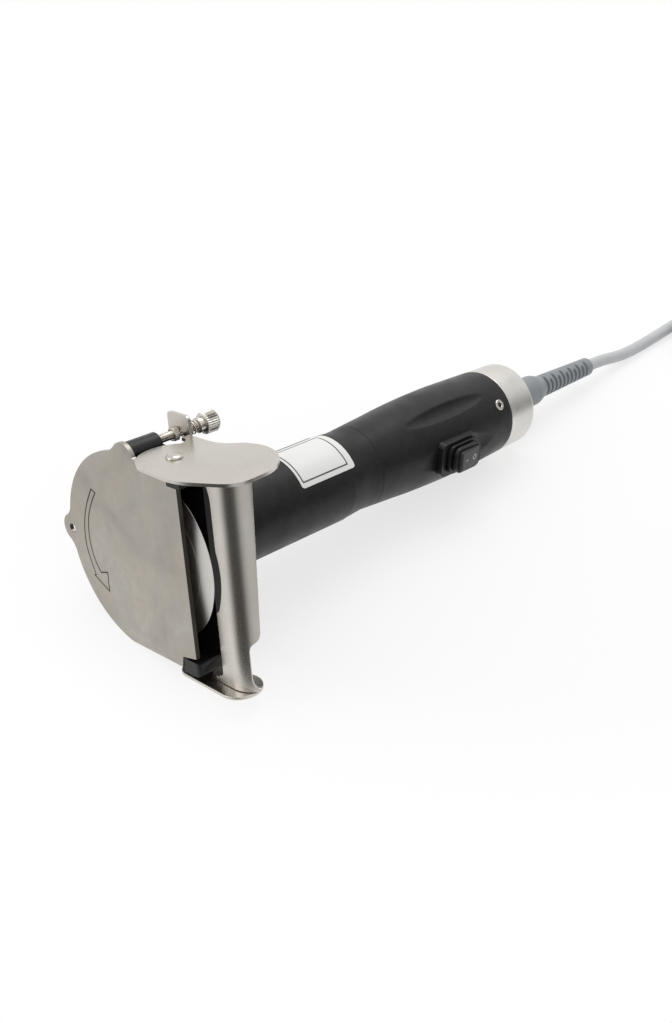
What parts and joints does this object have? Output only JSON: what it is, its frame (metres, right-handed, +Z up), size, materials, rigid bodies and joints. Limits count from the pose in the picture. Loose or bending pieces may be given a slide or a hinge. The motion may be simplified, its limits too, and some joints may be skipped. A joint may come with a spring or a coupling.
{
  "type": "electric kebab slicer",
  "caption": "Hand-held electric kebab slicer with a round blade behind a steel guard, a swinging depth guide set by a thumb screw, a motor grip with rocker switch, and a coiled mains lead.",
  "frame": {"origin": "middle of the tool without its lead, on the table that it lies on", "axes": "+Y along the handle from the guard to the lead, +X to the open side of the blade, +Z up from the table; the tool lies rolled and pitched on its guard, its depth guide and its end cap"},
  "size_m": [0.2056, 0.5272, 0.112],
  "materials": {
    "stainless_sheet": "satin",
    "blade_steel": "ground",
    "bright_steel": "bright",
    "shaft_steel": "turned",
    "bearing_steel": "polished",
    "black_plastic": "fine grain",
    "switch_plastic": "satin",
    "boot_rubber": "satin",
    "cap_aluminium": "turned",
    "bracket_aluminium": "cast",
    "grey_rubber": "matte",
    "core_iron": "laminated",
    "copper": "lacquered",
    "carbon": "matte",
    "pale_moulding": "matte",
    "wire_sleeve": "satin"
  },
  "bodies": {
    "tool": {"bearing_circlip": "shaft_steel", "brush_holder_1": "pale_moulding", "brush_holder_2": "pale_moulding", "cap_screw_1": "bright_steel", "cap_screw_2": "bright_steel", "carbon_brush_1": "carbon", "carbon_brush_2": "carbon", "cord_clamp": "pale_moulding", "cord_coil": "grey_rubber", "cord_run": "grey_rubber", "cord_tie": "boot_rubber", "end_cap": "cap_aluminium", "feed_wire": "wire_sleeve", "field_coil_1": "copper", "field_coil_2": "copper", "grip_collar": "black_plastic", "grip_shell": "black_plastic", "guard_plate": "stainless_sheet", "guard_screw_1": "bright_steel", "guard_screw_2": "bright_steel", "guard_screw_3": "bright_steel", "head_housing": "black_plastic", "inner_lead": "grey_rubber", "mains_plug": "grey_rubber", "motor_front_bearing": "bearing_steel", "motor_front_bracket": "bracket_aluminium", "motor_rear_bearing": "bearing_steel", "motor_rear_bracket": "bracket_aluminium", "motor_tube": "black_plastic", "motor_wire": "wire_sleeve", "pivot_rivet_bottom": "bright_steel", "pivot_rivet_top": "bright_steel", "plug_pin_1": "bright_steel", "plug_pin_2": "bright_steel", "return_wire": "wire_sleeve", "spindle_front_bearing": "bearing_steel", "spindle_rear_bearing": "bearing_steel", "stator_core": "core_iron", "strain_relief": "grey_rubber", "switch_bezel": "switch_plastic", "switch_body": "switch_plastic", "switch_boot": "boot_rubber", "terminal_block": "pale_moulding"},
    "rotor": {"drive_spindle": "shaft_steel", "round_blade": "blade_steel", "blade_nut": "shaft_steel", "shaft_coupling": "shaft_steel", "armature_shaft": "shaft_steel", "armature_core": "core_iron", "armature_winding_front": "copper", "armature_winding_rear": "copper", "commutator": "copper"},
    "depth_guide": {"guide_top_plate": "stainless_sheet", "guide_vane": "stainless_sheet", "guide_bottom_plate": "stainless_sheet"},
    "screw_feed": {"adjuster_spring": "bright_steel"},
    "thumb_wheel": {"thumb_screw": "bright_steel", "stop_nut": "bright_steel"},
    "rocker": {"switch_rocker": "switch_plastic"}
  },
  "joints": [
    {"name": "blade_spin", "type": "hinge", "parent": "tool", "child": "rotor", "pos_m": [-0.00325, -0.16234, 0.05196], "axis": [0, 0.993, -0.1181], "continuous": true},
    {"name": "thumbscrew_feed", "type": "slide", "parent": "tool", "child": "screw_feed", "axis": [0, 0.993, -0.1181], "range_m": [-0.0021, 0.0021]},
    {"name": "thumbscrew_turn", "type": "hinge", "parent": "screw_feed", "child": "thumb_wheel", "pos_m": [-0.02201, -0.11348, 0.09026], "axis": [0, 0.993, -0.1181], "range_deg": [-1085, 1085]},
    {"name": "guide_swing", "type": "hinge", "parent": "tool", "child": "depth_guide", "pos_m": [0.01286, -0.15199, 0.05518], "axis": [-0.2645, 0.1139, 0.9576], "range_deg": [-5.4, 5.4]},
    {"name": "rocker_tip", "type": "hinge", "parent": "tool", "child": "rocker", "pos_m": [0.02799, 0.01985, 0.03435], "axis": [0.1278, -0.1171, -0.9849], "range_deg": [0, 12]}
  ],
  "couplings": [
    {"joint": "thumbscrew_turn", "follows": "thumbscrew_feed", "rad_per_m": 8976},
    {"joint": "guide_swing", "follows": "thumbscrew_feed", "rad_per_m": -43.104}
  ]
}
